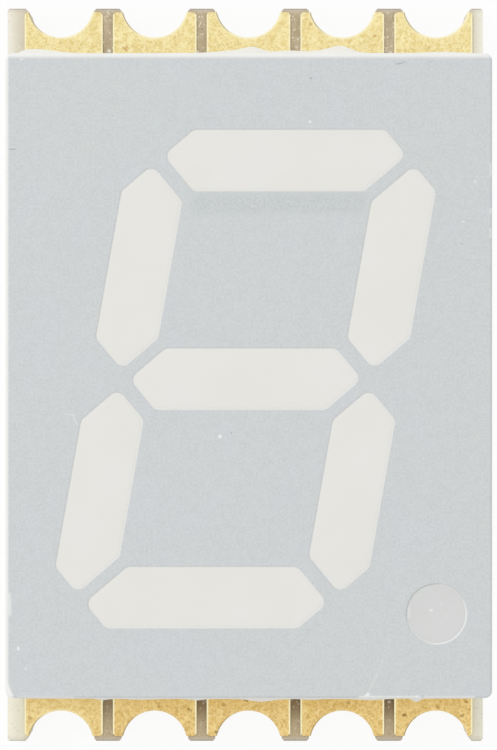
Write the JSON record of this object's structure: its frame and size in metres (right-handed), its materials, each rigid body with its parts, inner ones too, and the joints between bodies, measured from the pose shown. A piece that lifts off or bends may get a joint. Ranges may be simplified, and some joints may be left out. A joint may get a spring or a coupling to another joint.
{
  "type": "seven segment display",
  "caption": "Single-digit LED display: grey-faced moulded reflector with slanted milky segments and a decimal point, on a board with plated half-hole terminals for surface mounting.",
  "frame": {"origin": "under the middle of the terminal pattern, on the plane of the solder lands", "axes": "+Z out of the face, +Y to the top of the digit, +X to the right of it"},
  "size_m": [0.0101, 0.0156, 0.0042],
  "materials": {
    "board": "satin",
    "gold_plating": "satin",
    "die": "satin",
    "bond_wire": "polished",
    "housing": "satin",
    "segment_resin": "satin",
    "point_resin": "satin",
    "bond_resin": "satin"
  },
  "bodies": {
    "root": {"circuit_board": "board", "conductor_a": "gold_plating", "conductor_b": "gold_plating", "conductor_c": "gold_plating", "conductor_d": "gold_plating", "conductor_e": "gold_plating", "conductor_f": "gold_plating", "conductor_g": "gold_plating", "conductor_point": "gold_plating", "conductor_common": "gold_plating", "led_die_a": "die", "led_die_b": "die", "led_die_c": "die", "led_die_d": "die", "led_die_e": "die", "led_die_f": "die", "led_die_g": "die", "led_die_point": "die", "bond_wire_a": "bond_wire", "bond_wire_b": "bond_wire", "bond_wire_c": "bond_wire", "bond_wire_d": "bond_wire", "bond_wire_e": "bond_wire", "bond_wire_f": "bond_wire", "bond_wire_g": "bond_wire", "bond_wire_point": "bond_wire", "reflector_housing": "housing", "segment_a": "segment_resin", "segment_b": "segment_resin", "segment_c": "segment_resin", "segment_d": "segment_resin", "segment_e": "segment_resin", "segment_f": "segment_resin", "segment_g": "segment_resin", "decimal_point": "point_resin", "resin_bond_line": "bond_resin"}
  },
  "joints": []
}
